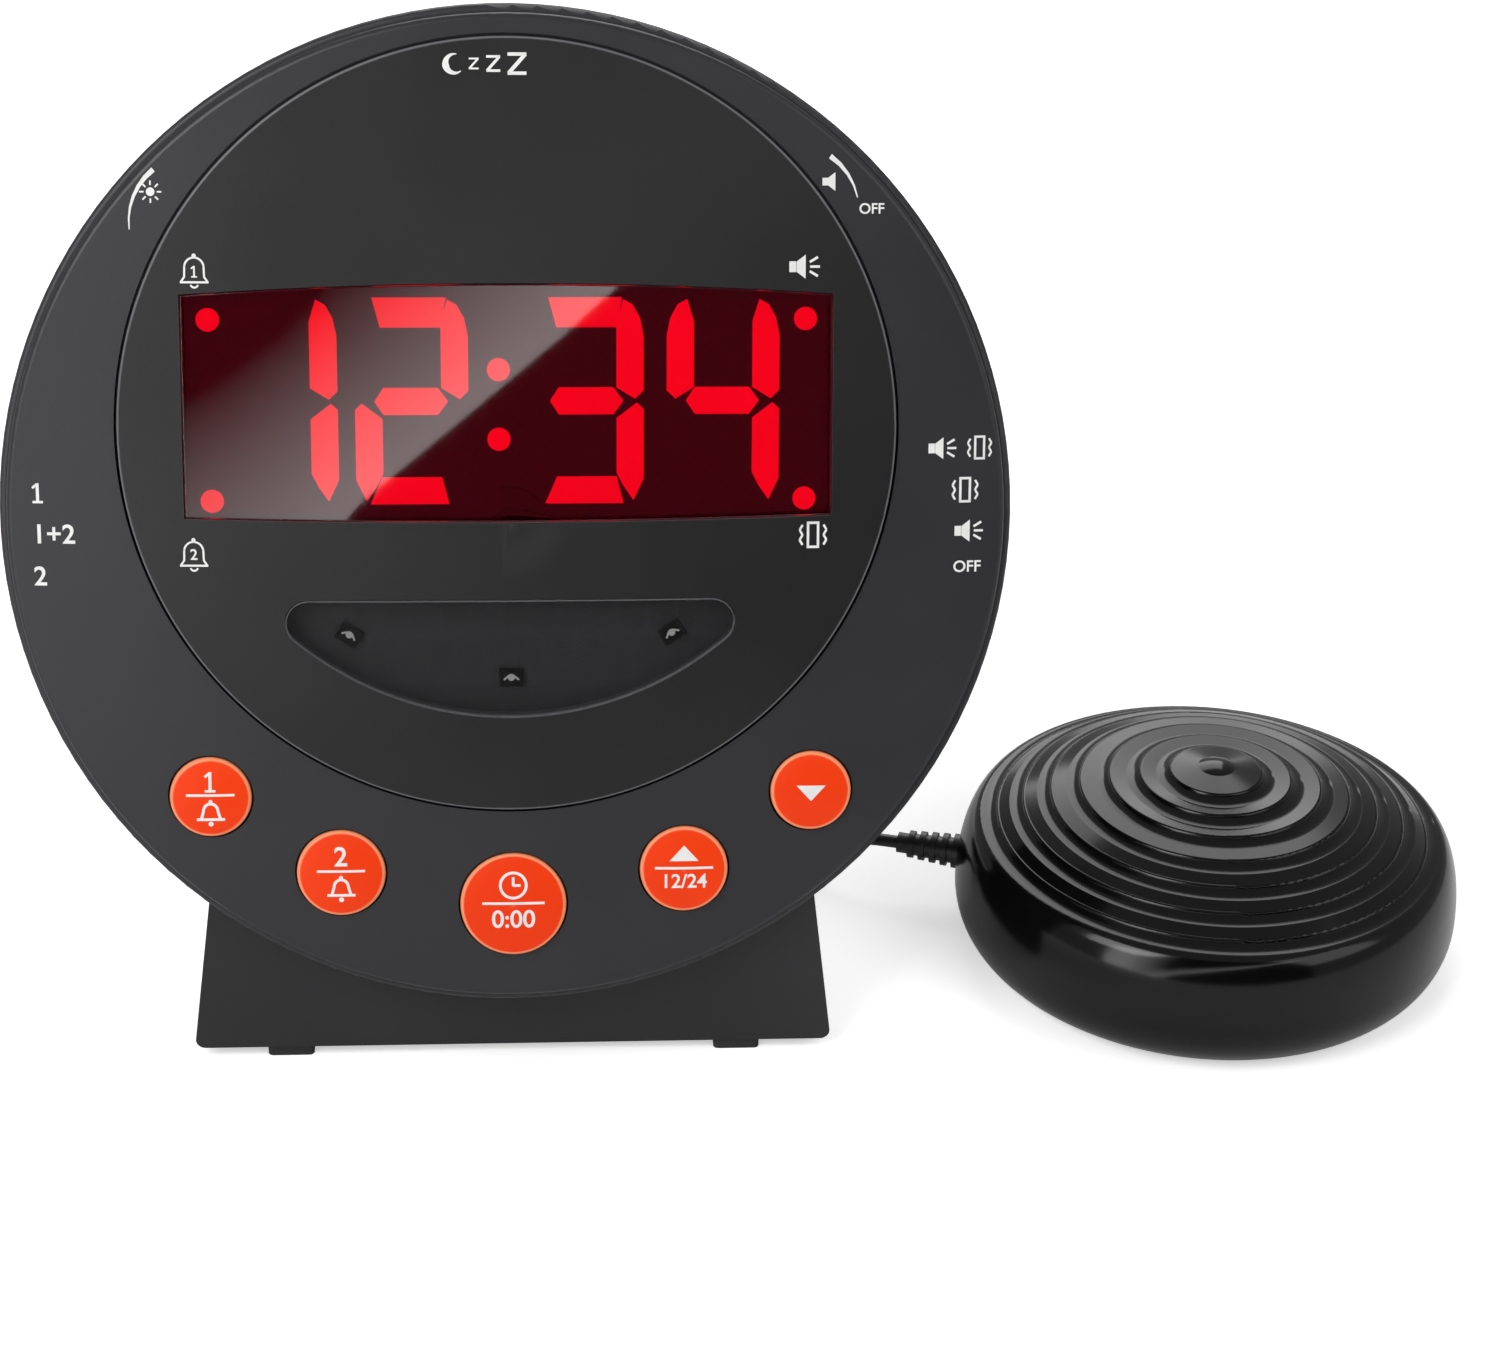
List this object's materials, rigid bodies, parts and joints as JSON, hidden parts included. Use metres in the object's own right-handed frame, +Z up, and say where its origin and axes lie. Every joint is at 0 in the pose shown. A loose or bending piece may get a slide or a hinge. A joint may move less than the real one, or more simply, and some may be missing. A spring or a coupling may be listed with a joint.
{
  "type": "bed shaker alarm clock",
  "caption": "Round bedside alarm clock tilted back on a wedge stand, with a red digital display, orange keys and a domed vibrating bed shaker on a cord.",
  "frame": {"origin": "middle of the footprint of the clock and the shaker, on the surface they stand on", "axes": "+X to the right of someone who reads the clock, +Y to the back, +Z up"},
  "size_m": [0.2304, 0.136, 0.1591],
  "materials": {
    "charcoal_shell": "fine satin charcoal moulding",
    "charcoal_bezel": "fine satin charcoal moulding with white print",
    "charcoal_panel": "satin charcoal moulding with white print",
    "stand_plastic": "matte charcoal moulding",
    "red_lens": "dark red tinted acrylic",
    "smoke_lens": "smoked acrylic",
    "display_face": "dark display face",
    "lit_red": "lit red display segments",
    "led_chip": "light chips",
    "circuit_board": "green circuit board",
    "orange_key": "orange-red moulded key with white print",
    "switch_plastic": "black switch and socket bodies",
    "plunger_plastic": "black plungers",
    "control_plastic": "black thumb wheels and slide knobs",
    "speaker_steel": "plated steel basket and magnet",
    "speaker_paper": "black paper cone",
    "screw_steel": "zinc plated steel",
    "cell_steel": "nickel plated steel cell",
    "black_rubber": "black rubber",
    "puck_plastic": "black satin moulding",
    "motor_steel": "plated steel motor can",
    "weight_metal": "sintered metal weight",
    "cord_jacket": "black flexible cord jacket and mouldings",
    "tie_plastic": "black coated tie",
    "plug_metal": "nickel plated plug pin"
  },
  "bodies": {
    "clock": {"main_housing": "charcoal_shell", "rear_cover": "charcoal_shell", "front_bezel": "charcoal_bezel", "front_panel": "charcoal_panel", "stand": "stand_plastic", "base_plate": "stand_plastic", "display_lens": "red_lens", "alert_lens": "smoke_lens", "display_module": "display_face", "lit_segments": "lit_red", "alert_leds": "led_chip", "display_board": "circuit_board", "alert_board": "circuit_board", "key_board": "circuit_board", "main_board": "circuit_board", "snooze_board": "circuit_board", "tact_switches": "switch_plastic", "alarm_switch": "switch_plastic", "mode_switch": "switch_plastic", "wheel_pots": "switch_plastic", "dc_jack": "switch_plastic", "shaker_jack": "switch_plastic", "speaker_frame": "speaker_steel", "speaker_cone": "speaker_paper", "case_screws": "screw_steel", "stand_screws": "screw_steel", "shaker_screws": "screw_steel", "motor_clamp": "screw_steel", "backup_cell": "cell_steel", "rubber_feet": "black_rubber", "shaker_foot": "black_rubber", "shaker_top": "puck_plastic", "shaker_base": "puck_plastic", "shaker_motor": "motor_steel", "cord_lead": "cord_jacket", "cord_coil": "cord_jacket", "cord_tail": "cord_jacket", "strain_relief": "cord_jacket", "plug": "cord_jacket", "cord_tie": "tie_plastic", "plug_tip": "plug_metal"},
    "snooze": {"snooze_bar": "charcoal_shell", "snooze_plunger": "plunger_plastic"},
    "dimmer": {"dimmer_wheel": "control_plastic"},
    "volume": {"volume_wheel": "control_plastic"},
    "alarm_choice": {"alarm_slider": "control_plastic"},
    "wake_mode": {"mode_slider": "control_plastic"},
    "cell_door": {"battery_door": "charcoal_shell"},
    "rotor": {"motor_shaft": "screw_steel", "eccentric_weight": "weight_metal"},
    "key_alarm1": {"key_alarm1": "orange_key", "plunger_alarm1": "plunger_plastic"},
    "key_alarm2": {"key_alarm2": "orange_key", "plunger_alarm2": "plunger_plastic"},
    "key_time": {"key_time": "orange_key", "plunger_time": "plunger_plastic"},
    "key_up": {"key_up": "orange_key", "plunger_up": "plunger_plastic"},
    "key_down": {"key_down": "orange_key", "plunger_down": "plunger_plastic"}
  },
  "joints": [
    {"name": "snooze_press", "type": "slide", "parent": "clock", "child": "snooze", "axis": [0, -0.309, -0.9511], "range_m": [0, 0.0012], "stiffness_N_per_m": 1200, "springref_m": -0.0005},
    {"name": "press_alarm1", "type": "slide", "parent": "clock", "child": "key_alarm1", "axis": [0, 0.9511, -0.309], "range_m": [0, 0.0008], "stiffness_N_per_m": 1500, "springref_m": -0.0004},
    {"name": "press_alarm2", "type": "slide", "parent": "clock", "child": "key_alarm2", "axis": [0, 0.9511, -0.309], "range_m": [0, 0.0008], "stiffness_N_per_m": 1500, "springref_m": -0.0004},
    {"name": "press_time", "type": "slide", "parent": "clock", "child": "key_time", "axis": [0, 0.9511, -0.309], "range_m": [0, 0.0008], "stiffness_N_per_m": 1500, "springref_m": -0.0004},
    {"name": "press_up", "type": "slide", "parent": "clock", "child": "key_up", "axis": [0, 0.9511, -0.309], "range_m": [0, 0.0008], "stiffness_N_per_m": 1500, "springref_m": -0.0004},
    {"name": "press_down", "type": "slide", "parent": "clock", "child": "key_down", "axis": [0, 0.9511, -0.309], "range_m": [0, 0.0008], "stiffness_N_per_m": 1500, "springref_m": -0.0004},
    {"name": "dimmer_turn", "type": "hinge", "parent": "clock", "child": "dimmer", "pos_m": [-0.08787, 0.00213, 0.12798], "axis": [0, 0.9511, -0.309], "range_deg": [-135, 135]},
    {"name": "volume_turn", "type": "hinge", "parent": "clock", "child": "volume", "pos_m": [0.00747, 0.00213, 0.12798], "axis": [0, 0.9511, -0.309], "range_deg": [-135, 135]},
    {"name": "alarm_slide", "type": "slide", "parent": "clock", "child": "alarm_choice", "axis": [0, 0.309, 0.9511], "range_m": [-0.005, 0.005]},
    {"name": "mode_slide", "type": "slide", "parent": "clock", "child": "wake_mode", "axis": [0, -0.309, -0.9511], "range_m": [0, 0.015]},
    {"name": "door_slide", "type": "slide", "parent": "clock", "child": "cell_door", "axis": [0, 0.309, 0.9511], "range_m": [0, 0.012]},
    {"name": "motor_spin", "type": "hinge", "parent": "clock", "child": "rotor", "pos_m": [0.074, -0.00389, 0.014], "axis": [1, 0, 0], "continuous": true}
  ]
}
